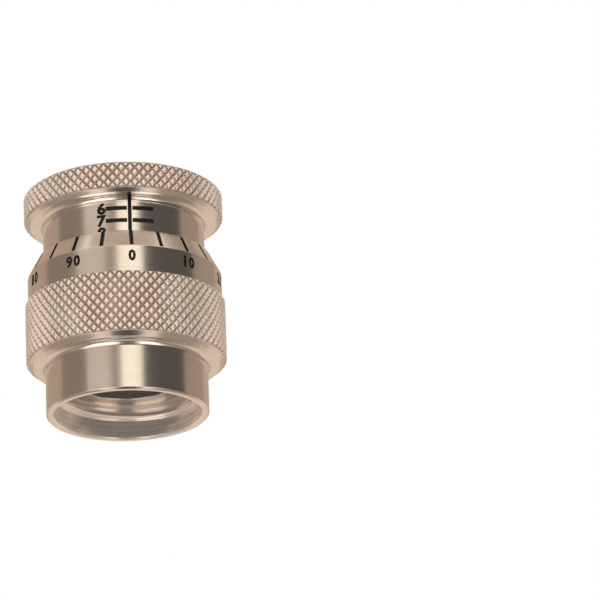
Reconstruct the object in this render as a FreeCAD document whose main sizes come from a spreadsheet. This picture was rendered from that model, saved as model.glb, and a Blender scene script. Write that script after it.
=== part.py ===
import FreeCAD, Part
import math
import os

import Sketcher

# Valve spring height micrometer, read at rest as 1.800 inch.
# A flanged barrel screws down into a knurled thimble, and the thimble's lip
# reads against the marks cut across the barrel's index line.
# Millimetres, +Z up. The origin is the centre of the thimble's foot rim, and
# the index line faces -Y.

sizes = {
    # What the gauge reads: its own height over both ends
    "reading": 45.72,
    "thread_lead": 2.54,
    # The two diameters that thimble and barrel share
    "head_radius": 19.05,
    "body_radius": 15.875,
    # Thimble
    "thimble_height": 32.12,
    "foot_length": 9.9,
    "head_chamfer": 0.8,
    "foot_corner": 1.2,
    "knurl_top": 23.0,
    "bezel_bottom": 28.2,
    "lip_radius": 17.0,
    "rim_break": 0.35,
    "foot_bore_radius": 14.3,
    "foot_bore_depth": 4.0,
    "nut_length": 11.6,
    # Barrel
    "barrel_length": 39.12,
    "flange_height": 6.12,
    "flange_chamfer": 0.65,
    "flange_top_chamfer": 0.35,
    "neck_corner": 0.9,
    "outer_seat_radius": 16.3,
    "outer_seat_depth": 2.4,
    "inner_seat_radius": 11.5,
    "inner_seat_depth": 4.4,
    "stem_bore_radius": 9.5,
    "screw_length": 13.0,
    "screw_chamfer": 0.9,
    "relief_width": 2.6,
    "relief_depth": 0.2,
    "shoulder_chamfer": 0.4,
    # Fit of the screw in the nut, and of the barrel in the slide bore
    "thread_radius": 14.2,
    "thread_depth": 1.2,
    "thread_clearance": 0.1,
    "flank_slope": 0.577,
    "running_clearance": 0.075,
    # Rubber ring that keeps the setting, in its groove on the barrel
    "ring_offset": 1.2,
    "ring_groove_width": 2.2,
    "ring_groove_depth": 1.7,
    "ring_clearance": 0.04,
    "ring_corner": 0.3,
    # Diamond knurl
    "teeth_round": 70,
    "tooth_pitch": 2.1,
    "tooth_height": 0.55,
    "tooth_foot": 0.05,
    # Marks
    "mark_width": 0.48,
    "mark_depth": 0.2,
    "mark_angle": 34,
    "first_mark_reading": 40.64,
    "mark_count": 5,
    "index_tail": 1.0,
    "tick_count": 20,
    "tick_depth": 0.3,
    "tick_end": 0.15,
    # How far a cutting outline reaches past the surface that it cuts
    "overrun": 1.0,
    "thread_overrun": 0.1,
}

doc = FreeCAD.newDocument("SpringHeightMicrometer")
sheet = doc.addObject("Spreadsheet::Sheet", "Sizes")
for row, (alias, value) in enumerate(sizes.items(), start=1):
    sheet.set(f"A{row}", alias)
    sheet.set(f"B{row}", str(value))
    sheet.setAlias(f"B{row}", alias)
doc.recompute()


# A length together with the formula that binds it to the sheet
class Length:
    def __init__(self, value, formula):
        self.value = value
        self.formula = formula

    def joined(self, sign, other, value):
        return Length(value, f"({self.formula} {sign} {other.formula})")

    def __add__(self, other):
        other = as_length(other)
        return self.joined("+", other, self.value + other.value)

    def __sub__(self, other):
        other = as_length(other)
        return self.joined("-", other, self.value - other.value)

    def __mul__(self, other):
        other = as_length(other)
        return self.joined("*", other, self.value * other.value)

    def __truediv__(self, other):
        other = as_length(other)
        return self.joined("/", other, self.value / other.value)

    def __mod__(self, other):
        other = as_length(other)
        return Length(math.fmod(self.value, other.value), f"mod({self.formula}; {other.formula})")


def as_length(value):
    return value if isinstance(value, Length) else Length(value, str(value))


class Sheet:
    def __getattr__(self, alias):
        return Length(float(sheet.get(alias)), f"Sizes.{alias}")


size = Sheet()


def bind(item, property_name, length):
    item.setExpression(property_name, as_length(length).formula)


def origin_part(body, role):
    return next(part for part in body.Origin.OriginFeatures if part.Role == role)


def new_body(name):
    body = doc.addObject("PartDesign::Body", name)
    body.Label = name
    return body


def new_sketch(body, plane_role, name):
    sketch = body.newObject("Sketcher::SketchObject", name)
    sketch.AttachmentSupport = [(origin_part(body, plane_role), "")]
    sketch.MapMode = "FlatFace"
    return sketch


# Holds the start of a sketch line at its distances from the sketch's origin
def place_start(sketch, line, across, up):
    for kind, length in (("DistanceX", across), ("DistanceY", up)):
        if length.value < 0:
            length = length * -1
            constraint = Sketcher.Constraint(kind, line, 1, -1, 1, length.value)
        else:
            constraint = Sketcher.Constraint(kind, -1, 1, line, 1, length.value)
        index = sketch.addConstraint(constraint)
        bind(sketch, f"Constraints[{index}]", length)


# A closed outline of straight lines through corners of (across, up)
def draw_outline(sketch, corners):
    corners = [(as_length(across), as_length(up)) for across, up in corners]
    points = [FreeCAD.Vector(across.value, up.value, 0) for across, up in corners]
    following = points[1:] + points[:1]
    lines = [Part.LineSegment(start, end) for start, end in zip(points, following)]
    sketch.addGeometry(lines, False)
    for line in range(len(lines)):
        joined = (line + 1) % len(lines)
        sketch.addConstraint(Sketcher.Constraint("Coincident", line, 2, joined, 1))
    for line, (across, up) in enumerate(corners):
        place_start(sketch, line, across, up)


def rectangle(left, right, bottom, top):
    return [(left, bottom), (right, bottom), (right, top), (left, top)]


def turn(body, corners):
    sketch = new_sketch(body, "XZ_Plane", "TurnedProfile")
    draw_outline(sketch, corners)
    turning = body.newObject("PartDesign::Revolution", "Turned")
    turning.Profile = sketch
    turning.ReferenceAxis = (sketch, ["V_Axis"])
    turning.Angle = 360
    doc.recompute()


# Section of a thread groove, wide at its mouth and narrow at its root
def groove_section(mouth, root, centre):
    outward = 1 if mouth.value > root.value else -1
    middle = (mouth + root) / 2
    mouth = mouth + size.thread_overrun * outward
    section = []
    for radius, side in ((root, -1), (mouth, -1), (mouth, 1), (root, 1)):
        half_width = size.thread_lead / 4 + (radius - middle) * outward * size.flank_slope
        section.append((radius, centre + half_width * side))
    return section


# Cuts a right-hand thread groove, its centre rising from start to end
def cut_thread(body, name, mouth, root, start, end):
    sketch = new_sketch(body, "XZ_Plane", name + "Section")
    draw_outline(sketch, groove_section(mouth, root, start))
    helix = body.newObject("PartDesign::SubtractiveHelix", name)
    helix.Profile = sketch
    helix.ReferenceAxis = (sketch, ["V_Axis"])
    helix.Mode = "pitch-height-angle"
    bind(helix, "Pitch", size.thread_lead)
    bind(helix, "Height", end - start)
    doc.recompute()


# Cuts the outline, drawn on the front of the piece, through a width across it
def cut_slot(body, name, corners, width):
    sketch = new_sketch(body, "YZ_Plane", name + "Section")
    draw_outline(sketch, corners)
    pocket = body.newObject("PartDesign::Pocket", name)
    pocket.Profile = sketch
    pocket.Midplane = True
    bind(pocket, "Length", width)
    doc.recompute()
    return pocket


# Cuts the outline, drawn on the front of the piece, round an arc centred there
def cut_arc(body, name, corners, angle):
    sketch = new_sketch(body, "YZ_Plane", name + "Section")
    draw_outline(sketch, corners)
    groove = body.newObject("PartDesign::Groove", name)
    groove.Profile = sketch
    groove.ReferenceAxis = (sketch, ["V_Axis"])
    groove.Midplane = True
    bind(groove, "Angle", angle)
    doc.recompute()
    return groove


def repeat_round(body, feature, count):
    pattern = body.newObject("PartDesign::PolarPattern", feature.Name + "Round")
    pattern.Originals = [feature]
    pattern.Axis = (origin_part(body, "Z_Axis"), [""])
    pattern.Angle = 360
    bind(pattern, "Occurrences", count)
    body.Tip = pattern
    doc.recompute()


def repeat_down(body, feature, count, spacing):
    pattern = body.newObject("PartDesign::LinearPattern", feature.Name + "Down")
    pattern.Originals = [feature]
    pattern.Direction = (origin_part(body, "Z_Axis"), [""])
    pattern.Reversed = True
    bind(pattern, "Length", spacing * (count - 1))
    bind(pattern, "Occurrences", count)
    body.Tip = pattern
    doc.recompute()


# Pyramid teeth left between two sets of crossed helical grooves. Groove
# crossings and tooth tips alternate over the lattice, and the end teeth slope.
def knurl(name, seat_radius, bottom, top):
    seat_radius, bottom, top = seat_radius.value, bottom.value, top.value
    teeth = int(size.teeth_round.value)
    rows = round((top - bottom) / (size.tooth_pitch.value / 2))
    tooth_height = size.tooth_height.value

    def lattice(column, row):
        height = bottom + (top - bottom) * row / rows
        radius = seat_radius + size.tooth_foot.value
        if (column + row) % 2:
            radius += tooth_height
            height += tooth_height * ((row == 0) - (row == rows))
        angle = math.pi * (column % (2 * teeth)) / teeth
        return FreeCAD.Vector(radius * math.cos(angle), radius * math.sin(angle), height)

    faces = []
    for row in range(rows + 1):
        for column in range((row + 1) % 2, 2 * teeth, 2):
            around = [lattice(column - 1, row), lattice(column + 1, row)]
            if row > 0:
                around.insert(1, lattice(column, row - 1))
            if row < rows:
                around.append(lattice(column, row + 1))
            tip = lattice(column, row)
            for start, end in zip(around, around[1:] + around[:1]):
                faces.append(Part.Face(Part.makePolygon([tip, start, end, tip])))
    axis = FreeCAD.Vector(0, 0, 1)
    for row, height in ((0, bottom), (rows, top)):
        columns = range(row % 2, row % 2 + 2 * teeth + 1, 2)
        outside = Part.makePolygon([lattice(column, row) for column in columns])
        inside = Part.Wire(Part.makeCircle(seat_radius, FreeCAD.Vector(0, 0, height), axis))
        faces.append(Part.makeFace([outside, inside], "Part::FaceMakerBullseye"))
    seat = Part.makeCylinder(seat_radius, top - bottom, FreeCAD.Vector(0, 0, bottom), axis)
    faces.append(next(face for face in seat.Faces if isinstance(face.Surface, Part.Cylinder)))
    shell = Part.makeShell(faces)
    shell.sewShape()
    solid = Part.Solid(shell)
    if solid.Volume < 0:
        solid.reverse()
    feature = doc.addObject("Part::Feature", name)
    feature.Shape = solid
    return feature


def join(name, base, tool, height=0):
    whole = doc.addObject("Part::Fuse", name)
    whole.Label = name
    whole.Base = base
    whole.Tool = tool
    bind(whole, "Placement.Base.z", height)
    return whole


# Radii of the nut thread in the thimble and of the screw thread on the barrel
nut_root = size.thread_radius
nut_crest = size.thread_radius - size.thread_depth
screw_crest = nut_root - size.thread_clearance
screw_root = nut_crest - size.thread_clearance
slide_bore_radius = size.body_radius + size.running_clearance

# Heights on the barrel, from its own lower end, and where that end stands
barrel_bottom = size.reading - size.barrel_length
relief_top = size.screw_length + size.relief_width
flange_bottom = size.barrel_length - size.flange_height
first_mark = size.barrel_length - (size.first_mark_reading - size.thimble_height)
last_mark = first_mark - size.thread_lead * (size.mark_count - 1)
ring_groove_bottom = relief_top + size.ring_offset
ring_groove_top = ring_groove_bottom + size.ring_groove_width
ring_groove_radius = size.body_radius - size.ring_groove_depth


# Thimble: foot, knurled head, graduated bezel and lip in one turned piece
def make_thimble():
    body = new_body("thimble_turned")
    nut_top = size.foot_bore_depth + size.nut_length
    turn(body, [
        (size.foot_bore_radius + size.rim_break, 0),
        (size.body_radius - size.rim_break, 0),
        (size.body_radius, size.rim_break),
        (size.body_radius, size.foot_length - size.foot_corner),
        (size.body_radius + size.foot_corner, size.foot_length),
        (size.head_radius - size.head_chamfer, size.foot_length),
        (size.head_radius, size.foot_length + size.head_chamfer),
        (size.head_radius, size.bezel_bottom),
        (size.lip_radius, size.thimble_height),
        (slide_bore_radius, size.thimble_height),
        (slide_bore_radius, nut_top),
        (nut_crest, nut_top),
        (nut_crest, size.foot_bore_depth),
        (size.foot_bore_radius, size.foot_bore_depth),
        (size.foot_bore_radius, size.rim_break),
    ])
    nut_start = size.foot_bore_depth - size.thread_lead / 2
    nut_end = nut_top + size.thread_lead / 2
    cut_thread(body, "NutThread", nut_crest, nut_root, nut_start, nut_end)
    bezel_height = size.thimble_height - size.bezel_bottom
    bezel_slope = (size.head_radius - size.lip_radius) / bezel_height
    low = size.bezel_bottom + size.tick_end
    high = size.thimble_height + size.overrun
    low_radius = size.head_radius - bezel_slope * size.tick_end
    high_radius = size.lip_radius - bezel_slope * size.overrun
    tick = cut_slot(body, "Tick", [
        ((low_radius + size.overrun) * -1, low),
        ((low_radius - size.tick_depth) * -1, low),
        ((high_radius - size.tick_depth) * -1, high),
        ((high_radius + size.overrun) * -1, high),
    ], size.mark_width)
    repeat_round(body, tick, size.tick_count)
    knurl_bottom = size.foot_length + size.head_chamfer
    teeth = knurl("thimble_knurl", size.head_radius, knurl_bottom, size.knurl_top)
    return join("thimble", body, teeth)


# Barrel: screw end, ring groove, marked body and knurled flange, bored through
def make_barrel():
    body = new_body("barrel_turned")
    inner_seat = size.barrel_length - size.outer_seat_depth - size.inner_seat_depth
    turn(body, [
        (size.stem_bore_radius, 0),
        (screw_crest - size.screw_chamfer, 0),
        (screw_crest, size.screw_chamfer),
        (screw_crest, size.screw_length),
        (screw_root - size.relief_depth, size.screw_length),
        (screw_root - size.relief_depth, relief_top),
        (size.body_radius - size.shoulder_chamfer, relief_top),
        (size.body_radius, relief_top + size.shoulder_chamfer),
        (size.body_radius, ring_groove_bottom),
        (ring_groove_radius, ring_groove_bottom),
        (ring_groove_radius, ring_groove_top),
        (size.body_radius, ring_groove_top),
        (size.body_radius, flange_bottom - size.neck_corner),
        (size.body_radius + size.neck_corner, flange_bottom),
        (size.head_radius - size.flange_chamfer, flange_bottom),
        (size.head_radius, flange_bottom + size.flange_chamfer),
        (size.head_radius, size.barrel_length - size.flange_top_chamfer),
        (size.head_radius - size.flange_top_chamfer, size.barrel_length),
        (size.outer_seat_radius, size.barrel_length),
        (size.outer_seat_radius, size.barrel_length - size.outer_seat_depth),
        (size.inner_seat_radius, size.barrel_length - size.outer_seat_depth),
        (size.inner_seat_radius, inner_seat),
        (size.stem_bore_radius, inner_seat),
    ])
    screw_start = (barrel_bottom - size.foot_bore_depth) % size.thread_lead * -1 - size.thread_lead
    screw_end = size.screw_length + size.relief_width / 2
    cut_thread(body, "ScrewThread", screw_crest, screw_root, screw_start, screw_end)
    outside = (size.body_radius + size.overrun) * -1
    inside = (size.body_radius - size.mark_depth) * -1
    index_bottom = last_mark - size.index_tail
    index_outline = rectangle(outside, inside, index_bottom, flange_bottom)
    cut_slot(body, "IndexLine", index_outline, size.mark_width)
    half_mark = size.mark_width / 2
    mark_outline = rectangle(outside, inside, first_mark - half_mark, first_mark + half_mark)
    mark = cut_arc(body, "Mark", mark_outline, size.mark_angle)
    repeat_down(body, mark, size.mark_count, size.thread_lead)
    knurl_bottom = flange_bottom + size.flange_chamfer
    knurl_top = size.barrel_length - size.flange_top_chamfer
    teeth = knurl("flange_knurl", size.head_radius, knurl_bottom, knurl_top)
    return join("barrel", body, teeth, barrel_bottom)


# Rubber ring of square section, a hair clear of its groove and of the slide bore
def make_drag_ring():
    ring = new_body("drag_ring")
    inside = ring_groove_radius + size.ring_clearance
    outside = slide_bore_radius - size.ring_clearance
    half_width = (outside - inside) / 2
    turn(ring, [
        (inside, half_width * -1 + size.ring_corner),
        (inside + size.ring_corner, half_width * -1),
        (outside - size.ring_corner, half_width * -1),
        (outside, half_width * -1 + size.ring_corner),
        (outside, half_width - size.ring_corner),
        (outside - size.ring_corner, half_width),
        (inside + size.ring_corner, half_width),
        (inside, half_width - size.ring_corner),
    ])
    bind(ring, "Placement.Base.z", barrel_bottom + (ring_groove_bottom + ring_groove_top) / 2)
    return ring


pieces = [make_thimble(), make_barrel(), make_drag_ring()]
doc.recompute()

for item in doc.Objects:
    if "Invalid" in item.State or "Error" in item.State:
        raise RuntimeError(f"{item.Name} did not build: {item.State}")
for piece in pieces:
    if piece.Shape.isNull() or not piece.Shape.isValid() or len(piece.Shape.Solids) != 1:
        raise RuntimeError(f"{piece.Label} is not one sound solid")

os.makedirs("parts", exist_ok=True)
for piece in pieces:
    piece.Shape.exportStep(f"parts/{piece.Label}.step")
    print(f"{piece.Label}: {piece.Shape.Volume:.0f} mm3, {len(piece.Shape.Faces)} faces")
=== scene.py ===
import math

import bmesh
import bpy
from mathutils import Matrix, Vector


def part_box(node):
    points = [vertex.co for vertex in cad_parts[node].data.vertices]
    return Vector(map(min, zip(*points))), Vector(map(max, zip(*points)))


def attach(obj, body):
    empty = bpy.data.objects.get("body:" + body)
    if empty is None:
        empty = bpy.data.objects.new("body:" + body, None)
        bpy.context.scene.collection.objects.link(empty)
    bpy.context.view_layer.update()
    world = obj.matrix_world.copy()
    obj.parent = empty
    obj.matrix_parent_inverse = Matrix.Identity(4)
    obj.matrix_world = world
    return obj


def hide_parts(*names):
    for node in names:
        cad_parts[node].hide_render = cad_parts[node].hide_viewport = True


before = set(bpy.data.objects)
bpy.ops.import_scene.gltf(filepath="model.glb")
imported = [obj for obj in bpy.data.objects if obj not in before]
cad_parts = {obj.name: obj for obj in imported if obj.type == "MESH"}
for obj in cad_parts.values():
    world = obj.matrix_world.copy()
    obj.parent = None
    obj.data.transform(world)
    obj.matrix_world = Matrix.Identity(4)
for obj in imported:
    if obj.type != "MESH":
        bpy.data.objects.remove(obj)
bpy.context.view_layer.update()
mm = 0.001
thimbleLow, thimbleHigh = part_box("thimble")
barrelLow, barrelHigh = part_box("barrel")
reading = barrelHigh[2] / mm
print("frame loaded")

# What both pieces share, in millimetres and degrees
shared = {
    "headRadius": 19.05,
    "bodyRadius": 15.875,
    "slideGap": 0.075,
    "lead": 2.54,
    "threadRadius": 14.2,
    "threadDepth": 1.2,
    "threadGap": 0.1,
    "flankSlope": 0.577,
    "threadReach": 0.1,
    "threadSteps": 120,
    "segments": 360,
    "tickWidth": 0.76,
    "indexWidth": 0.75,
    "markWidth": 0.84,
    "cutterReach": 1.0,
    "figureDepth": 0.16,
    "figureThickness": 0.4,
    "shellSmooth": 28,
    "knurlSmooth": 50,
}

knurlSizes = {
    "teethRound": 70,
    "rowPitch": 1.05,
    "toothFoot": 0.05,
    "toothHeight": 0.55,
    "crown": ((0.25, 0.02), (0.43, 0.08), (0.57, 0.24)),
    "innerRadius": 18.95,
}


def linkedObject(name, data):
    thing = bpy.data.objects.new(name, data)
    bpy.context.scene.collection.objects.link(thing)
    return thing


def removeObject(thing):
    mesh = thing.data
    bpy.data.objects.remove(thing)
    if mesh.users == 0:
        bpy.data.meshes.remove(mesh)


# The mesh that an object's modifiers or text make
def evaluatedMesh(thing):
    depsgraph = bpy.context.evaluated_depsgraph_get()
    return bpy.data.meshes.new_from_object(thing.evaluated_get(depsgraph))


def meshFrom(name, points, faces, material=None):
    mesh = bpy.data.meshes.new(name)
    mesh.from_pydata([Vector(point) * mm for point in points], [], faces)
    if material:
        mesh.materials.append(material)
    return mesh


def faceOutward(mesh):
    work = bmesh.new()
    work.from_mesh(mesh)
    bmesh.ops.remove_doubles(work, verts=work.verts, dist=1e-7)
    bmesh.ops.recalc_face_normals(work, faces=work.faces)
    work.to_mesh(mesh)
    work.free()


# Shader helpers


def newMaterial(name):
    material = bpy.data.materials.new(name)
    material.use_nodes = True
    tree = material.node_tree
    tree.nodes.clear()
    output = tree.nodes.new("ShaderNodeOutputMaterial")
    return material, tree, output


def addNode(tree, kind, values=None, **settings):
    made = tree.nodes.new(kind)
    for key, value in settings.items():
        setattr(made, key, value)
    for key, value in (values or {}).items():
        if isinstance(value, bpy.types.NodeSocket):
            tree.links.new(value, made.inputs[key])
        else:
            made.inputs[key].default_value = value
    return made


def maths(tree, operation, first, second=0.0, clamp=False):
    made = addNode(tree, "ShaderNodeMath", {0: first, 1: second}, operation=operation)
    made.use_clamp = clamp
    return made.outputs[0]


def remap(tree, value, low, high, newLow=0.0, newHigh=1.0):
    values = {"Value": value, "From Min": low, "From Max": high}
    values["To Min"] = newLow
    values["To Max"] = newHigh
    return addNode(tree, "ShaderNodeMapRange", values).outputs["Result"]


def mixColour(tree, share, first, second):
    made = tree.nodes.new("ShaderNodeMix")
    made.data_type = "RGBA"
    for index, value in ((0, share), (6, first), (7, second)):
        if isinstance(value, bpy.types.NodeSocket):
            tree.links.new(value, made.inputs[index])
        else:
            made.inputs[index].default_value = value
    return made.outputs[2]


# Noise in space, or along one line where the place is a single number
def noise(tree, place, scale, detail=2.0, roughness=0.5, line=False):
    values = {"W" if line else "Vector": place, "Scale": scale, "Detail": detail, "Roughness": roughness}
    kind = "1D" if line else "3D"
    return addNode(tree, "ShaderNodeTexNoise", values, noise_dimensions=kind).outputs["Fac"]


def addShare(tree, start, value, share):
    return maths(tree, "ADD", start, maths(tree, "MULTIPLY", value, share))


def objectPlace(tree):
    return addNode(tree, "ShaderNodeTexCoord").outputs["Object"]


def bumped(tree, strength, distance, height):
    values = {"Strength": strength, "Distance": distance, "Height": height}
    return addNode(tree, "ShaderNodeBump", values).outputs[0]


def finishMaterial(tree, output, values):
    shader = addNode(tree, "ShaderNodeBsdfPrincipled", values)
    tree.links.new(shader.outputs[0], output.inputs[0])


# Painted shade with some grime in the knurl valleys and a painted highlight with wear on the crowns run
# over shares of a tooth's height, bores are told by their radius in millimetres
metalLook = {
    "base": (0.82, 0.8, 0.77, 1.0),
    "shade": (0.77, 0.74, 0.7, 1.0),
    # Painted shade with some grime: the dark brown of the knurl valleys
    "grimeAndShade": (0.5, 0.36, 0.265, 1.0),
    # Painted highlight with wear: the light colour of the tooth crowns
    "wearAndHighlight": (0.98, 0.85, 0.71, 1.0),
    # Painted light: the two bore tones, lighter and warmer than the outer metal, varying ring by ring
    "bore": (0.93, 0.85, 0.78, 1.0),
    "boreStreak": (0.8, 0.72, 0.66, 1.0),
    # Painted shade: the darker tone deep in the stem bore, towards its bottom
    "deepBoreShade": (0.5, 0.475, 0.46, 1.0),
    "roughness": 0.13,
    "roughnessSpread": (-0.03, 0.05),
    "cloudRoughness": 0.05,
    "grimeRoughness": 0.25,
    "wornRoughness": 0.16,
    # Where the painted shade in the valleys fades out and where the painted highlight on the crowns rises
    "grimeAndShadeFade": (0.45, 0.95),
    "wearAndHighlightRise": (0.8, 0.96),
    "knurlEdge": 0.02,
    "boreRadius": 14.7,
    "stemRadius": 12.85,
    "deepLevels": (14, 26),
    "knurlScatter": 0.48,
    "boreScatter": 0.3,
    "seatScatter": 0.08,
    "deepScatter": 0.14,
    "anisotropy": 0.6,
    "lineDepth": 0.000002,
}


# Satin turned metal: lines run round the axis, painted shade with some grime sits low in the knurl and a
# painted highlight with wear on its crowns, and the bores get painted light, with painted shade deep in the
# stem bore
def turnedMetal(name, look):
    material, tree, output = newMaterial(name)
    place = objectPlace(tree)
    split = addNode(tree, "ShaderNodeSeparateXYZ", {0: place})
    flat = addNode(tree, "ShaderNodeCombineXYZ", {0: split.outputs[0], 1: split.outputs[1]})
    length = addNode(tree, "ShaderNodeVectorMath", {0: flat.outputs[0]}, operation="LENGTH")
    radius, height = length.outputs["Value"], split.outputs[2]
    along = maths(tree, "ADD", height, radius)
    fine = noise(tree, along, 14000.0, 3.0, line=True)
    broad = noise(tree, along, 1700.0, 2.0, line=True)
    cloud = noise(tree, place, 160.0, 4.0, 0.6)
    grain = noise(tree, place, 5200.0, 2.0, 0.7)
    lines = addShare(tree, maths(tree, "MULTIPLY", fine, 0.7), broad, 0.5)
    normal = bumped(tree, 0.5, look["lineDepth"], addShare(tree, lines, grain, 0.5))

    foot = (shared["headRadius"] + knurlSizes["toothFoot"]) * mm
    tall = knurlSizes["toothHeight"] * mm
    inKnurl = maths(tree, "GREATER_THAN", radius, foot - look["knurlEdge"] * mm)
    # Painted shade with some grime: the knurl darkens towards the tooth roots, in patches
    fadeLow, fadeHigh = (foot + share * tall for share in look["grimeAndShadeFade"])
    low = remap(tree, radius, fadeLow, fadeHigh, 1.0, 0.0)
    patchy = remap(tree, cloud, 0.3, 0.65, 0.55, 1.0)
    dirtAndShade = maths(tree, "MULTIPLY", maths(tree, "MULTIPLY", low, patchy), inKnurl)
    # Painted highlight with wear: the tooth crowns are lighter
    wearAndHighlightLow, wearAndHighlightHigh = (foot + share * tall for share in look["wearAndHighlightRise"])
    wearAndHighlight = remap(tree, radius, wearAndHighlightLow, wearAndHighlightHigh)
    # Inside the bores a lighter tone, painted light; deep in the narrow stem bore a darker one, painted
    # shade
    inside = maths(tree, "LESS_THAN", radius, look["boreRadius"] * mm)
    narrow = maths(tree, "LESS_THAN", radius, look["stemRadius"] * mm)
    deepLow, deepHigh = (level * mm for level in look["deepLevels"])
    lowDown = remap(tree, height, deepLow, deepHigh, 1.0, 0.0)
    deep = maths(tree, "MULTIPLY", narrow, lowDown)

    colour = mixColour(tree, remap(tree, cloud, 0.35, 0.7), look["base"], look["shade"])
    # Mixed in: the painted shade of the valleys, the painted highlight of the crowns, the painted light of
    # the bores and the painted shade deep in the stem bore
    colour = mixColour(tree, dirtAndShade, colour, look["grimeAndShade"])
    colour = mixColour(tree, wearAndHighlight, colour, look["wearAndHighlight"])
    litBoreStreaks = mixColour(tree, remap(tree, broad, 0.42, 0.6), look["boreStreak"], look["bore"])
    colour = mixColour(tree, inside, colour, litBoreStreaks)
    colour = mixColour(tree, deep, colour, look["deepBoreShade"])

    smooth, coarse = (look["roughness"] + change for change in look["roughnessSpread"])
    rough = remap(tree, lines, 0.3, 0.8, smooth, coarse)
    rough = addShare(tree, rough, cloud, look["cloudRoughness"])
    rough = addShare(tree, rough, dirtAndShade, look["grimeRoughness"])
    rough = addShare(tree, rough, wearAndHighlight, look["wornRoughness"])

    boreScatter = remap(tree, lowDown, 0.0, 1.0, look["seatScatter"], look["boreScatter"])
    scatter = maths(tree, "MULTIPLY", inKnurl, look["knurlScatter"])
    scatter = addShare(tree, scatter, inside, boreScatter)
    scatter = addShare(tree, scatter, deep, -look["deepScatter"])
    values = {"Base Color": colour, "Roughness": rough, "Normal": normal}
    values["Metallic"] = maths(tree, "SUBTRACT", 1.0, scatter)
    values["Anisotropic"] = look["anisotropy"]
    values["Tangent"] = addNode(tree, "ShaderNodeTangent", direction_type="RADIAL", axis="Z").outputs[0]
    finishMaterial(tree, output, values)
    return material


paintLook = {
    "dark": (0.006, 0.006, 0.006, 1.0),
    "wearAndHighlight": (0.03, 0.027, 0.024, 1.0),
    "speckDepth": 0.00001,
    "specular": 0.25,
}


# Black filler in the marks and figures, a little chalky where it is rubbed
def fillPaint(name, look):
    material, tree, output = newMaterial(name)
    speck = noise(tree, objectPlace(tree), 3000.0, 3.0)
    colour = mixColour(tree, remap(tree, speck, 0.45, 0.75), look["dark"], look["wearAndHighlight"])
    values = {"Base Color": colour, "Roughness": remap(tree, speck, 0.3, 0.7, 0.45, 0.7)}
    values["Normal"] = bumped(tree, 0.4, look["speckDepth"], speck)
    values["Specular IOR Level"] = look["specular"]
    finishMaterial(tree, output, values)
    return material


rubberLook = {
    "dark": (0.012, 0.012, 0.013, 1.0),
    "light": (0.03, 0.03, 0.032, 1.0),
    "grainDepth": 0.00002,
}


def rubber(name, look):
    material, tree, output = newMaterial(name)
    grain = noise(tree, objectPlace(tree), 2500.0, 4.0)
    colour = mixColour(tree, grain, look["dark"], look["light"])
    values = {"Base Color": colour, "Roughness": remap(tree, grain, 0.3, 0.7, 0.55, 0.8)}
    values["Normal"] = bumped(tree, 0.4, look["grainDepth"], grain)
    finishMaterial(tree, output, values)
    return material


thimbleMetal = turnedMetal("thimbleMetal", metalLook)
barrelMetal = turnedMetal("barrelMetal", metalLook)
markPaint = fillPaint("markPaint", paintLook)
ringRubber = rubber("ringRubber", rubberLook)
print("materials made")


# Turned solids: a closed outline of (radius, height, corner rounding) swept round Z


# Each corner gets an arc of a few steps, and a close pair of points beside it that keeps the
# shading of the long walls flat
def roundedOutline(corners, steps=5, support=0.05, supportShare=0.25):
    outline = []
    for index, (radius, height, rounding) in enumerate(corners):
        here = Vector((radius, height))
        back = Vector(corners[index - 1][:2]) - here
        ahead = Vector(corners[(index + 1) % len(corners)][:2]) - here
        backward, forward = back.normalized(), ahead.normalized()
        halfAngle = back.angle(ahead) / 2
        reach = rounding / math.tan(halfAngle)
        middle = here + (backward + forward).normalized() * rounding / math.sin(halfAngle)
        start = here + backward * reach - middle
        end = here + forward * reach - middle
        sweep = start.angle_signed(end)
        outline.append(here + backward * (reach + min(support, back.length * supportShare)))
        for step in range(steps + 1):
            turned = start.copy()
            turned.rotate(Matrix.Rotation(-sweep * step / steps, 2))
            outline.append(middle + turned)
        outline.append(here + forward * (reach + min(support, ahead.length * supportShare)))
    return outline


def turnedMesh(name, corners, material):
    outline = roundedOutline(corners)
    count = len(outline)
    around = shared["segments"]
    points = []
    for step in range(around):
        angle = 2 * math.pi * (step + 0.5) / around
        points += [(p.x * math.cos(angle), p.x * math.sin(angle), p.y) for p in outline]
    faces = []
    for step in range(around):
        here, there = step * count, (step + 1) % around * count
        for index in range(count):
            after = (index + 1) % count
            faces.append((here + index, there + index, there + after, here + after))
    mesh = meshFrom(name, points, faces, material)
    faceOutward(mesh)
    return mesh


# Geometry Nodes helpers


def newTree(name, sockets):
    tree = bpy.data.node_groups.new(name, "GeometryNodeTree")
    for label, kind in sockets:
        tree.interface.new_socket(label, in_out="INPUT", socket_type=kind)
    tree.interface.new_socket("Geometry", in_out="OUTPUT", socket_type="NodeSocketGeometry")
    entry = tree.nodes.new("NodeGroupInput")
    return tree, entry.outputs


def finishTree(tree, geometry, material):
    welded = addNode(tree, "GeometryNodeMergeByDistance", {"Geometry": geometry, "Distance": 1e-6})
    values = {"Geometry": welded.outputs[0], "Material": material}
    dressed = addNode(tree, "GeometryNodeSetMaterial", values)
    output = tree.nodes.new("NodeGroupOutput")
    tree.links.new(dressed.outputs[0], output.inputs[0])


def grown(name, tree, values):
    holder = linkedObject(name, bpy.data.meshes.new(name))
    modifier = holder.modifiers.new(name, "NODES")
    modifier.node_group = tree
    for item in tree.interface.items_tree:
        if item.in_out == "INPUT":
            modifier[item.identifier] = values[item.name]
    mesh = evaluatedMesh(holder)
    mesh.name = name
    holder.modifiers.clear()
    removeObject(holder)
    return mesh


# Diamond knurl: one tooth set round and up a lattice, and half teeth at both ends


def polar(radius, angle, height):
    return (radius * math.cos(angle), radius * math.sin(angle), height)


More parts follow.
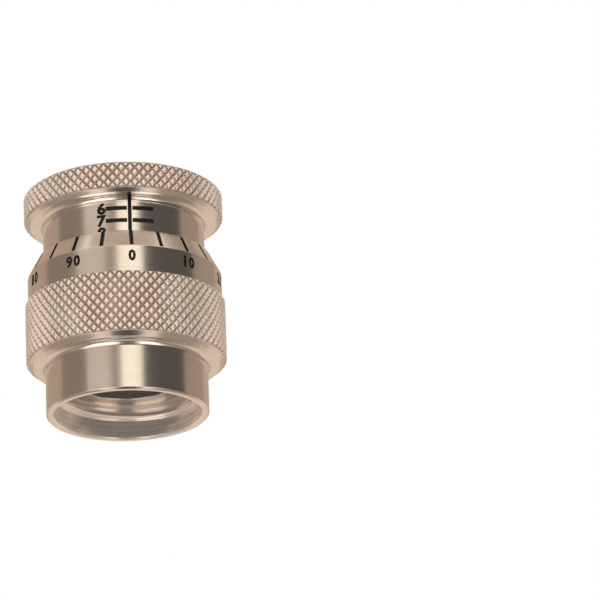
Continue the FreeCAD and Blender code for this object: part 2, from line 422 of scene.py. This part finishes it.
# One whole tooth and one end tooth, each with a rounded crown and its own inner face
def toothMeshes(rowHeight):
    step = math.pi / knurlSizes["teethRound"]
    foot = shared["headRadius"] + knurlSizes["toothFoot"]
    height = knurlSizes["toothHeight"]
    inner = knurlSizes["innerRadius"]

    def crowned(name, tipHeight, around, backFaces):
        sides = len(around)
        footStart = 1 + sides * len(knurlSizes["crown"])
        feet = [Vector(polar(foot, angle, level)) for angle, level in around]
        tip = Vector(polar(foot + height, 0, tipHeight))
        seat = Vector(polar(foot, 0, tipHeight))
        points = [tip]
        for share, drop in knurlSizes["crown"]:
            for corner in feet:
                spread = seat.lerp(corner, share)
                points.append(spread + Vector((height * (1 - drop), 0, 0)))
        points += feet
        points += [Vector(polar(inner, angle, level)) for angle, level in around]
        faces = []
        for side in range(sides):
            after = (side + 1) % sides
            faces.append((0, 1 + side, 1 + after))
            for ring in range(1, footStart, sides):
                faces.append((ring + side, ring + sides + side, ring + sides + after, ring + after))
        for face in backFaces:
            faces.append([footStart + index for index in face])
        return meshFrom(name, points, faces)

    diamond = [(-step, 0), (0, -rowHeight), (step, 0), (0, rowHeight)]
    whole = crowned("tooth", 0, diamond, [(4, 7, 6), (4, 6, 5)])
    triangle = [(-step, 0), (step, 0), (0, rowHeight)]
    half = crowned("endTooth", height, triangle, [(0, 3, 4, 1), (3, 5, 4)])
    return whole, half


def knurlTree():
    sockets = [
        ("Tooth", "NodeSocketObject"),
        ("End Tooth", "NodeSocketObject"),
        ("Teeth Round", "NodeSocketInt"),
        ("Rows", "NodeSocketInt"),
        ("Row Height", "NodeSocketFloat"),
        ("Bottom", "NodeSocketFloat"),
        ("Metal", "NodeSocketMaterial"),
    ]
    tree, entry = newTree("diamondKnurl", sockets)

    # Row and flip are functions of a tooth's index. A flipped end tooth points down
    def scatter(count, row, flip, source):
        points = addNode(tree, "GeometryNodePoints", {"Count": count})
        index = addNode(tree, "GeometryNodeInputIndex").outputs[0]
        column = maths(tree, "MODULO", index, entry["Teeth Round"])
        rowIndex = row(index)
        shifted = maths(tree, "MODULO", maths(tree, "ADD", rowIndex, 1.0), 2.0)
        turn = maths(tree, "ADD", column, maths(tree, "MULTIPLY", shifted, 0.5))
        turn = maths(tree, "DIVIDE", maths(tree, "MULTIPLY", turn, 2 * math.pi), entry["Teeth Round"])
        height = maths(tree, "ADD", maths(tree, "MULTIPLY", rowIndex, entry["Row Height"]), entry["Bottom"])
        spot = addNode(tree, "ShaderNodeCombineXYZ", {2: height})
        turned = addNode(tree, "ShaderNodeCombineXYZ", {0: flip(index), 2: turn})
        placed = addNode(
            tree,
            "GeometryNodeSetPosition",
            {"Geometry": points.outputs[0], "Position": spot.outputs[0]},
        )
        tooth = addNode(tree, "GeometryNodeObjectInfo", {"Object": source})
        rotation = addNode(tree, "FunctionNodeEulerToRotation", {0: turned.outputs[0]})
        spread = {"Points": placed.outputs[0], "Instance": tooth.outputs["Geometry"]}
        spread["Rotation"] = rotation.outputs[0]
        return addNode(tree, "GeometryNodeInstanceOnPoints", spread).outputs[0]

    teeth = entry["Teeth Round"]

    def ringNumber(index):
        return maths(tree, "FLOOR", maths(tree, "DIVIDE", index, teeth))

    innerCount = maths(tree, "MULTIPLY", teeth, maths(tree, "SUBTRACT", entry["Rows"], 1.0))
    middle = scatter(
        innerCount,
        lambda index: maths(tree, "ADD", ringNumber(index), 1.0),
        lambda index: 0.0,
        entry["Tooth"],
    )
    ends = scatter(
        maths(tree, "MULTIPLY", teeth, 2.0),
        lambda index: maths(tree, "MULTIPLY", ringNumber(index), entry["Rows"]),
        lambda index: maths(tree, "MULTIPLY", ringNumber(index), math.pi),
        entry["End Tooth"],
    )
    joined = tree.nodes.new("GeometryNodeJoinGeometry")
    tree.links.new(middle, joined.inputs[0])
    tree.links.new(ends, joined.inputs[0])
    real = addNode(tree, "GeometryNodeRealizeInstances", {0: joined.outputs[0]})
    finishTree(tree, real.outputs[0], entry["Metal"])
    return tree


knurlNodes = knurlTree()


def knurlMesh(name, bottom, top, material):
    rows = round((top - bottom) / knurlSizes["rowPitch"])
    rowHeight = (top - bottom) / rows
    whole, half = toothMeshes(rowHeight)
    tooth = linkedObject("tooth", whole)
    endTooth = linkedObject("endTooth", half)
    values = {
        "Tooth": tooth,
        "End Tooth": endTooth,
        "Teeth Round": knurlSizes["teethRound"],
        "Rows": rows,
        "Row Height": rowHeight * mm,
        "Bottom": bottom * mm,
        "Metal": material,
    }
    mesh = grown(name, knurlNodes, values)
    removeObject(tooth)
    removeObject(endTooth)
    return mesh


# Helical groove cutter: a trapezoid carried up a right-hand spiral


def helixTree():
    sockets = [
        ("Radius", "NodeSocketFloat"),
        ("Depth", "NodeSocketFloat"),
        ("Inner Width", "NodeSocketFloat"),
        ("Outer Width", "NodeSocketFloat"),
        ("Lead", "NodeSocketFloat"),
        ("Turns", "NodeSocketFloat"),
        ("Start", "NodeSocketFloat"),
        ("Metal", "NodeSocketMaterial"),
    ]
    tree, entry = newTree("helicalGroove", sockets)
    spiral = {"Resolution": shared["threadSteps"], "Rotations": entry["Turns"], "Reverse": True}
    spiral["Start Radius"] = entry["Radius"]
    spiral["End Radius"] = entry["Radius"]
    spiral["Height"] = maths(tree, "MULTIPLY", entry["Lead"], entry["Turns"])
    path = addNode(tree, "GeometryNodeCurveSpiral", spiral)
    upright = addNode(tree, "GeometryNodeSetCurveNormal", {"Curve": path.outputs[0]}, mode="Z_UP")
    corners = {}
    halfDepth = maths(tree, "MULTIPLY", entry["Depth"], 0.5)
    for point, side, width, sign in (
        ("Point 1", -1, "Inner Width", -0.5),
        ("Point 2", 1, "Outer Width", -0.5),
        ("Point 3", 1, "Outer Width", 0.5),
        ("Point 4", -1, "Inner Width", 0.5),
    ):
        spot = {0: maths(tree, "MULTIPLY", halfDepth, float(side))}
        spot[1] = maths(tree, "MULTIPLY", entry[width], sign)
        corners[point] = addNode(tree, "ShaderNodeCombineXYZ", spot).outputs[0]
    section = addNode(tree, "GeometryNodeCurvePrimitiveQuadrilateral", corners, mode="POINTS")
    sweep = {"Curve": upright.outputs[0], "Profile Curve": section.outputs[0], "Fill Caps": True}
    swept = addNode(tree, "GeometryNodeCurveToMesh", sweep)
    raised = addNode(tree, "ShaderNodeCombineXYZ", {2: entry["Start"]})
    moved = addNode(
        tree, "GeometryNodeTransform", {"Geometry": swept.outputs[0], "Translation": raised.outputs[0]}
    )
    finishTree(tree, moved.outputs[0], entry["Metal"])
    return tree


helixNodes = helixTree()


def grooveCutter(name, mouth, root, start, turns, material):
    outward = 1 if mouth > root else -1
    middle = (mouth + root) / 2
    ends = sorted([mouth + shared["threadReach"] * outward, root])
    widths = []
    for radius in ends:
        half = shared["lead"] / 4 + (radius - middle) * outward * shared["flankSlope"]
        widths.append(2 * half)
    values = {
        "Radius": sum(ends) / 2 * mm,
        "Depth": (ends[1] - ends[0]) * mm,
        "Inner Width": widths[0] * mm,
        "Outer Width": widths[1] * mm,
        "Lead": shared["lead"] * mm,
        "Turns": float(turns),
        "Start": start * mm,
        "Metal": material,
    }
    mesh = grown(name, helixNodes, values)
    faceOutward(mesh)
    return mesh


# Cutting and joining


def cut(mesh, cutters):
    base = linkedObject("base", mesh)
    tools = []
    for cutter in cutters:
        tool = linkedObject(cutter.name, cutter)
        tools.append(tool)
        modifier = base.modifiers.new(cutter.name, "BOOLEAN")
        modifier.operation = "DIFFERENCE"
        modifier.solver = "MANIFOLD"
        modifier.material_mode = "TRANSFER"
        modifier.object = tool
    result = evaluatedMesh(base)
    base.modifiers.clear()
    for thing in [base] + tools:
        removeObject(thing)
    return result


def merged(name, meshes):
    work = bmesh.new()
    materials = []
    for mesh in meshes:
        lookup = []
        for material in mesh.materials:
            if material not in materials:
                materials.append(material)
            lookup.append(materials.index(material))
        start = len(work.faces)
        work.from_mesh(mesh)
        work.faces.ensure_lookup_table()
        for face in work.faces[start:]:
            if lookup:
                face.material_index = lookup[face.material_index]
    mesh = bpy.data.meshes.new(name)
    work.to_mesh(mesh)
    work.free()
    for material in materials:
        mesh.materials.append(material)
    return mesh


def smoothed(mesh, sharpAngle):
    mesh.shade_smooth()
    mesh.set_sharp_from_angle(angle=math.radians(sharpAngle))
    return mesh


# Edges sharper than the given angles stay sharp
def finishedShell(name, shell, knurl):
    parts = [smoothed(shell, shared["shellSmooth"]), smoothed(knurl, shared["knurlSmooth"])]
    return linkedObject(name, merged(name, parts))


# Figures: each digit is a small prism pressed into a surface that faces outward


# The lowest and the highest place of a mesh along one axis
def span(mesh, axis):
    places = [vertex.co[axis] for vertex in mesh.vertices]
    return min(places), max(places)


def digitMesh(text, height, stroke):
    curve = bpy.data.curves.new("digit", "FONT")
    curve.body = text
    curve.size = 1.0
    curve.resolution_u = 2
    curve.align_x = "CENTER"
    thing = linkedObject("digit", curve)
    plain = evaluatedMesh(thing)
    low, high = span(plain, 1)
    bpy.data.meshes.remove(plain)
    curve.size = (height - 2 * stroke) / (high - low) * mm
    curve.offset = stroke * mm
    curve.extrude = shared["figureThickness"] * mm
    mesh = evaluatedMesh(thing)
    bpy.data.objects.remove(thing)
    bpy.data.curves.remove(curve)
    shift = Vector((-sum(span(mesh, 0)) / 2, -sum(span(mesh, 1)) / 2, 0))
    mesh.transform(Matrix.Translation(shift))
    return mesh


# Sets a digit on a wall of the given radius, azimuth in degrees from the index line. The sizes
# are a piece's own dictionary
def placedDigit(text, sizes, radius, azimuth, level):
    mesh = digitMesh(text, sizes["figureHeight"], sizes["figureStroke"])
    mesh.transform(Matrix.Diagonal((sizes["figureWidth"], 1, 1, 1)))
    upright = Matrix.Rotation(math.radians(90), 4, "X")
    distance = radius - shared["figureDepth"] + shared["figureThickness"]
    outside = Matrix.Translation((0, -distance * mm, level * mm))
    around = Matrix.Rotation(math.radians(azimuth), 4, "Z")
    mesh.transform(around @ outside @ upright)
    mesh.materials.clear()
    mesh.materials.append(markPaint)
    faceOutward(mesh)
    return mesh


thimbleSizes = {
    "footLength": 9.9,
    "rimBreak": 0.35,
    "footCorner": 1.2,
    "headChamfer": 0.8,
    "knurlTop": 23.0,
    "bezelBottom": 28.2,
    "lipRadius": 17.0,
    "footBoreRadius": 14.3,
    "footBoreDepth": 4.0,
    "nutLength": 11.6,
    "tickCount": 20,
    "tickDepth": 0.3,
    "tickEnd": 0.15,
    "figureHeight": 2.36,
    "figureLevel": 26.16,
    "figureStroke": 0.15,
    "figureWidth": 0.92,
    "figureSpacing": 1.72,
}


def tickCutters(top):
    t = thimbleSizes
    slope = (shared["headRadius"] - t["lipRadius"]) / (top - t["bezelBottom"])
    reach = shared["cutterReach"]
    low = t["bezelBottom"] + t["tickEnd"]
    high = top + reach
    lowRadius = shared["headRadius"] - slope * t["tickEnd"]
    highRadius = t["lipRadius"] - slope * reach
    half = shared["tickWidth"] / 2
    section = [
        (lowRadius + reach, low),
        (lowRadius - t["tickDepth"], low),
        (highRadius - t["tickDepth"], high),
        (highRadius + reach, high),
    ]
    points = [(side, -radius, height) for side in (-half, half) for radius, height in section]
    faces = [(0, 1, 2, 3), (7, 6, 5, 4)]
    for index in range(4):
        after = (index + 1) % 4
        faces.append((index, index + 4, after + 4, after))
    tick = meshFrom("tick", points, faces)
    faceOutward(tick)
    source = linkedObject("tick", tick)
    sockets = [("Tick", "NodeSocketObject"), ("Count", "NodeSocketInt"), ("Paint", "NodeSocketMaterial")]
    tree, entry = newTree("bezelTicks", sockets)
    spots = addNode(tree, "GeometryNodePoints", {"Count": entry["Count"]})
    index = addNode(tree, "GeometryNodeInputIndex").outputs[0]
    turn = maths(tree, "DIVIDE", maths(tree, "MULTIPLY", index, 2 * math.pi), entry["Count"])
    turned = addNode(tree, "ShaderNodeCombineXYZ", {2: turn})
    rotation = addNode(tree, "FunctionNodeEulerToRotation", {0: turned.outputs[0]})
    shape = addNode(tree, "GeometryNodeObjectInfo", {"Object": entry["Tick"]})
    spread = {"Points": spots.outputs[0], "Instance": shape.outputs["Geometry"]}
    spread["Rotation"] = rotation.outputs[0]
    instances = addNode(tree, "GeometryNodeInstanceOnPoints", spread)
    real = addNode(tree, "GeometryNodeRealizeInstances", {0: instances.outputs[0]})
    finishTree(tree, real.outputs[0], entry["Paint"])
    values = {"Tick": source, "Count": t["tickCount"], "Paint": markPaint}
    mesh = grown("bezelTicks", tree, values)
    removeObject(source)
    return mesh


def bezelFigures():
    t = thimbleSizes
    radius = shared["headRadius"]
    spread = math.degrees(t["figureSpacing"] / radius)
    digits = []
    for number in range(0, 100, 10):
        text = str(number)
        for index, digit in enumerate(text):
            azimuth = 360 * number / 100 + (index - (len(text) - 1) / 2) * spread
            digits.append(placedDigit(digit, t, radius, azimuth, t["figureLevel"]))
    return merged("bezelFigures", digits)


def makeThimble():
    t = thimbleSizes
    head, body = shared["headRadius"], shared["bodyRadius"]
    top = thimbleHigh[2] / mm
    slide = body + shared["slideGap"]
    nutRoot = shared["threadRadius"]
    nutCrest = nutRoot - shared["threadDepth"]
    nutTop = t["footBoreDepth"] + t["nutLength"]
    corners = [
        (t["footBoreRadius"] + t["rimBreak"], 0, 0.1),
        (body - t["rimBreak"], 0, 0.12),
        (body, t["rimBreak"], 0.12),
        (body, t["footLength"], t["footCorner"]),
        (head - t["headChamfer"], t["footLength"], 0.12),
        (head, t["footLength"] + t["headChamfer"], 0.08),
        (head, t["bezelBottom"], 0.12),
        (t["lipRadius"], top, 0.25),
        (slide, top, 0.08),
        (slide, nutTop, 0.08),
        (nutCrest, nutTop, 0.08),
        (nutCrest, t["footBoreDepth"], 0.06),
        (t["footBoreRadius"], t["footBoreDepth"], 0.12),
        (t["footBoreRadius"], t["rimBreak"], 0.1),
    ]
    shell = turnedMesh("thimbleShell", corners, thimbleMetal)
    turns = t["nutLength"] / shared["lead"] + 1.0
    start = t["footBoreDepth"] - shared["lead"] / 2
    thread = grooveCutter("nutThread", nutCrest, nutRoot, start, turns, thimbleMetal)
    shell = cut(shell, [thread, tickCutters(top)])
    shell = cut(shell, [bezelFigures()])
    knurl = knurlMesh("thimbleKnurl", t["footLength"] + t["headChamfer"], t["knurlTop"], thimbleMetal)
    piece = finishedShell("thimbleShell", shell, knurl)
    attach(piece, "thimble")
    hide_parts("thimble")


makeThimble()
print("thimble made")

barrelSizes = {
    "flangeHeight": 6.12,
    "flangeChamfer": 0.65,
    "flangeTopChamfer": 0.35,
    "neckCorner": 0.9,
    "outerSeatRadius": 16.3,
    "outerSeatDepth": 2.4,
    "innerSeatRadius": 11.5,
    "innerSeatDepth": 4.4,
    "stemBoreRadius": 9.5,
    "screwLength": 13.0,
    "screwChamfer": 0.9,
    "reliefWidth": 2.6,
    "reliefDepth": 0.2,
    "shoulderChamfer": 0.4,
    "ringOffset": 1.2,
    "ringGrooveWidth": 2.2,
    "ringGrooveDepth": 1.7,
    "markDepth": 0.2,
    "markHalfAngle": 17,
    "markGapAngle": 1.9,
    "markCount": 5,
    "firstMarkReading": 40.64,
    "indexTail": 1.0,
    "figures": "67890",
    "figureHeight": 2.45,
    "figureStroke": 0.15,
    "figureWidth": 1.12,
    "figureAzimuth": -20.0,
    "figureRise": 0.1,
}


# One mark across the barrel, on one side of the index line and a little short of it
def markStrip(level, side, inner, outer, steps=12):
    b = barrelSizes
    half = shared["markWidth"] / 2
    section = ((inner, -half), (outer, -half), (outer, half), (inner, half))
    points = []
    faces = []
    for step in range(steps + 1):
        reach = b["markGapAngle"] + (b["markHalfAngle"] - b["markGapAngle"]) * step / steps
        angle = math.radians(-90 + side * reach)
        points += [polar(radius, angle, level + height) for radius, height in section]
    for step in range(steps):
        here, there = step * 4, step * 4 + 4
        for corner in range(4):
            after = (corner + 1) % 4
            faces.append((here + corner, there + corner, there + after, here + after))
    last = steps * 4
    faces += [(0, 1, 2, 3), (last + 3, last + 2, last + 1, last)]
    mark = meshFrom("mark", points, faces, markPaint)
    faceOutward(mark)
    return mark


def barrelMarks():
    b = barrelSizes
    body = shared["bodyRadius"]
    lip = thimbleHigh[2] / mm
    first = reading - (b["firstMarkReading"] - lip)
    last = first - shared["lead"] * (b["markCount"] - 1)
    top = reading - b["flangeHeight"]
    inner, outer = body - b["markDepth"], body + shared["cutterReach"]
    half = shared["indexWidth"] / 2
    points = []
    for x in (-half, half):
        for y in (-outer, -inner):
            points += [(x, y, last - b["indexTail"]), (x, y, top)]
    faces = [(0, 1, 3, 2), (4, 5, 7, 6), (0, 1, 5, 4), (2, 3, 7, 6), (0, 2, 6, 4), (1, 3, 7, 5)]
    line = meshFrom("indexLine", points, faces, markPaint)
    faceOutward(line)
    cutters = [line]
    for number in range(b["markCount"]):
        level = first - shared["lead"] * number
        cutters += [markStrip(level, side, inner, outer) for side in (-1, 1)]
        text = b["figures"][number]
        cutters.append(placedDigit(text, b, body, b["figureAzimuth"], level + b["figureRise"]))
    return merged("barrelMarks", cutters)


def makeBarrel():
    b = barrelSizes
    head, body = shared["headRadius"], shared["bodyRadius"]
    bottom = barrelLow[2] / mm
    top = reading
    screwRoot = shared["threadRadius"] - shared["threadDepth"] - shared["threadGap"]
    screwCrest = shared["threadRadius"] - shared["threadGap"]
    screwTop = bottom + b["screwLength"]
    shoulder = screwTop + b["reliefWidth"]
    grooveLow = shoulder + b["ringOffset"]
    grooveHigh = grooveLow + b["ringGrooveWidth"]
    grooveRadius = body - b["ringGrooveDepth"]
    flange = top - b["flangeHeight"]
    seat = top - b["outerSeatDepth"]
    innerSeat = seat - b["innerSeatDepth"]
    corners = [
        (b["stemBoreRadius"], bottom, 0.25),
        (screwCrest - b["screwChamfer"], bottom, 0.1),
        (screwCrest, bottom + b["screwChamfer"], 0.1),
        (screwCrest, screwTop, 0.08),
        (screwRoot - b["reliefDepth"], screwTop, 0.08),
        (screwRoot - b["reliefDepth"], shoulder, 0.1),
        (body - b["shoulderChamfer"], shoulder, 0.08),
        (body, shoulder + b["shoulderChamfer"], 0.08),
        (body, grooveLow, 0.08),
        (grooveRadius, grooveLow, 0.1),
        (grooveRadius, grooveHigh, 0.1),
        (body, grooveHigh, 0.08),
        (body, flange, b["neckCorner"]),
        (head - b["flangeChamfer"], flange, 0.12),
        (head, flange + b["flangeChamfer"], 0.06),
        (head, top - b["flangeTopChamfer"], 0.06),
        (head - b["flangeTopChamfer"], top, 0.12),
        (b["outerSeatRadius"], top, 0.15),
        (b["outerSeatRadius"], seat, 0.12),
        (b["innerSeatRadius"], seat, 0.15),
        (b["innerSeatRadius"], innerSeat, 0.12),
        (b["stemBoreRadius"], innerSeat, 0.2),
    ]
    shell = turnedMesh("barrelShell", corners, barrelMetal)
    offset = (bottom - thimbleSizes["footBoreDepth"]) % shared["lead"]
    start = bottom - offset - shared["lead"]
    turns = (screwTop + b["reliefWidth"] / 2 - start) / shared["lead"]
    thread = grooveCutter("screwThread", screwCrest, screwRoot, start, turns, barrelMetal)
    shell = cut(shell, [thread])
    shell = cut(shell, [barrelMarks()])
    knurl = knurlMesh("flangeKnurl", flange + b["flangeChamfer"], top - b["flangeTopChamfer"], barrelMetal)
    piece = finishedShell("barrelShell", shell, knurl)
    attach(piece, "barrel")
    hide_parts("barrel")


makeBarrel()
print("barrel made")

ringSizes = {
    "clearance": 0.04,
    "corner": 0.3,
    "smooth": 40,
}


def makeDragRing():
    low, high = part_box("drag_ring")
    outer = high[0] / mm
    bottom, top = low[2] / mm, high[2] / mm
    inner = shared["bodyRadius"] - barrelSizes["ringGrooveDepth"] + ringSizes["clearance"]
    places = [(inner, bottom), (outer, bottom), (outer, top), (inner, top)]
    corners = [(*place, ringSizes["corner"]) for place in places]
    mesh = smoothed(turnedMesh("dragRing", corners, ringRubber), ringSizes["smooth"])
    piece = linkedObject("dragRing", mesh)
    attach(piece, "drag_ring")
    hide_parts("drag_ring")


makeDragRing()
print("drag ring made")

# Angles in degrees, distances in metres, floor sizes in millimetres. The object's place in the
# picture is given in pixels of a picture of this width
studio = {
    "cardDistance": 0.9,
    "cardSteps": 16,
    "floorHalf": 900,
    "floorDrop": 0.05,
    "floorDark": (0.82, 0.82, 0.82, 1.0),
    "floorLight": (0.86, 0.86, 0.86, 1.0),
    "sky": (1.0, 1.0, 1.0, 1.0),
    "room": (0.54, 0.41, 0.31, 1.0),
    "azimuth": -4.68,
    "elevation": -20.5,
    "distance": 0.9,
    "lens": 274.7,
    "sensor": 36.0,
    "roll": -1.4,
    "objectAtX": -174.67,
    "objectAtY": -5.55,
    "pictureWidth": 600,
}


# Floor that shows from above only, so the camera can look up past it
def makeFloor():
    half = studio["floorHalf"]
    points = [(-half, -half, 0), (half, -half, 0), (half, half, 0), (-half, half, 0)]
    mesh = meshFrom("floor", points, [(0, 1, 2, 3)])
    floor = linkedObject("floor", mesh)
    floor.location.z = -studio["floorDrop"] * mm
    material, tree, output = newMaterial("floorPaint")
    cloud = noise(tree, objectPlace(tree), 30.0)
    colour = mixColour(tree, cloud, studio["floorDark"], studio["floorLight"])
    paint = addNode(tree, "ShaderNodeBsdfDiffuse", {"Color": colour, "Roughness": 0.8})
    clear = addNode(tree, "ShaderNodeBsdfTransparent")
    path = addNode(tree, "ShaderNodeLightPath").outputs["Is Camera Ray"]
    facing = addNode(tree, "ShaderNodeNewGeometry").outputs["Backfacing"]
    seen = maths(tree, "SUBTRACT", path, facing, clamp=True)
    mix = addNode(tree, "ShaderNodeMixShader", {0: seen, 1: clear.outputs[0], 2: paint.outputs[0]})
    tree.links.new(mix.outputs[0], output.inputs[0])
    mesh.materials.append(material)


# Curved studio card, placed by azimuth from the camera side and by elevation
def makeCard(name, left, right, low, high, colour):
    distance = studio["cardDistance"] / mm
    steps = studio["cardSteps"]
    points = []
    for row in range(steps + 1):
        rise = math.radians(low + (high - low) * row / steps)
        for column in range(steps + 1):
            turn = math.radians(studio["azimuth"] + left + (right - left) * column / steps)
            flat = distance * math.cos(rise)
            points.append((flat * math.sin(turn), -flat * math.cos(turn), distance * math.sin(rise)))
    faces = []
    for row in range(steps):
        for column in range(steps):
            corner = row * (steps + 1) + column
            faces.append((corner, corner + 1, corner + steps + 2, corner + steps + 1))
    material, tree, output = newMaterial(name)
    glow = addNode(tree, "ShaderNodeEmission", {"Color": (*colour, 1.0)})
    tree.links.new(glow.outputs[0], output.inputs[0])
    card = linkedObject(name, meshFrom(name, points, faces, material))
    card.visible_camera = False
    card.visible_diffuse = False
    card.visible_shadow = False


# Azimuth from and to, elevation from and to, colour
cards = {
    "frontLight": (-8, 22, 0, 48, (1.24, 1.09, 0.88)),
    "topLight": (-85, 85, 46, 66, (1.6, 1.42, 1.22)),
    "lowDark": (-12, 18, -56, 0, (0.09, 0.08, 0.072)),
    "below": (-180, 180, -90, -80, (1.1, 1.02, 0.95)),
    "lowLeft": (-62, -12, -56, -10, (1.9, 1.65, 1.42)),
    "lowRight": (18, 52, -56, -10, (1.9, 1.65, 1.42)),
    "deepDark": (-31, 33, -80, -56, (0.05, 0.045, 0.042)),
    "deepNearLeft": (-60, -31, -80, -56, (0.95, 0.8, 0.69)),
    "deepNearRight": (33, 60, -80, -56, (0.95, 0.8, 0.69)),
    "lowFarLeft": (-118, -62, -56, -15, (0.36, 0.28, 0.225)),
    "lowFarRight": (52, 112, -56, -15, (0.36, 0.28, 0.225)),
    "deepLeft": (-115, -60, -80, -56, (0.32, 0.25, 0.2)),
    "deepRight": (60, 110, -80, -56, (0.32, 0.25, 0.2)),
    "backLow": (125, 235, -50, -6, (0.78, 0.62, 0.49)),
    "darkRight": (22, 88, -15, 60, (0.09, 0.087, 0.077)),
    "edgeRight": (88, 135, -15, 60, (0.38, 0.29, 0.22)),
    "leftNear": (-22, -8, -15, 60, (0.34, 0.25, 0.2)),
    "leftBright": (-58, -22, -15, 60, (0.65, 0.54, 0.45)),
    "leftGrey": (-104, -58, -15, 60, (0.26, 0.2, 0.155)),
    "leftEdge": (-150, -104, -15, 60, (0.48, 0.35, 0.26)),
}


def makeStudio():
    makeFloor()
    for name, (left, right, low, high, colour) in cards.items():
        makeCard(name, left, right, low, high, colour)
    world = bpy.data.worlds.new("studioWorld")
    bpy.context.scene.world = world
    world.use_nodes = True
    tree = world.node_tree
    tree.nodes.clear()
    glossy = addNode(tree, "ShaderNodeLightPath").outputs["Is Glossy Ray"]
    sky = addNode(tree, "ShaderNodeBackground", {"Color": studio["sky"], "Strength": 1.0})
    room = addNode(tree, "ShaderNodeBackground", {"Color": studio["room"], "Strength": 1.0})
    mix = addNode(tree, "ShaderNodeMixShader", {0: glossy, 1: sky.outputs[0], 2: room.outputs[0]})
    output = tree.nodes.new("ShaderNodeOutputWorld")
    tree.links.new(mix.outputs[0], output.inputs[0])


def makeCamera():
    s = studio
    data = bpy.data.cameras.new("camera")
    data.lens = s["lens"]
    data.sensor_width = s["sensor"]
    data.clip_start = 0.05
    data.clip_end = 20.0
    camera = linkedObject("camera", data)
    turn, rise = math.radians(s["azimuth"]), math.radians(s["elevation"])
    flat = math.cos(rise)
    back = Vector((math.sin(turn) * flat, -math.cos(turn) * flat, math.sin(rise)))
    middle = Vector((0, 0, reading / 2 * mm))
    right = Vector((0, 0, 1)).cross(back).normalized()
    up = back.cross(right)
    lean = math.radians(-s["roll"])
    leanedUp = up * math.cos(lean) + right * math.sin(lean)
    leanedRight = right * math.cos(lean) - up * math.sin(lean)
    axes = Matrix((leanedRight, leanedUp, back)).transposed()
    focal = s["lens"] / s["sensor"] * s["pictureWidth"]
    towards = Vector((s["objectAtX"], s["objectAtY"], -focal)).normalized()
    aim = towards.rotation_difference(Vector((0, 0, -1))).to_matrix()
    camera.matrix_world = Matrix.Translation(middle + back * s["distance"]) @ (axes @ aim).to_4x4()
    bpy.context.scene.camera = camera


makeStudio()
makeCamera()
bpy.context.scene.view_settings.view_transform = "Standard"
print("studio made")
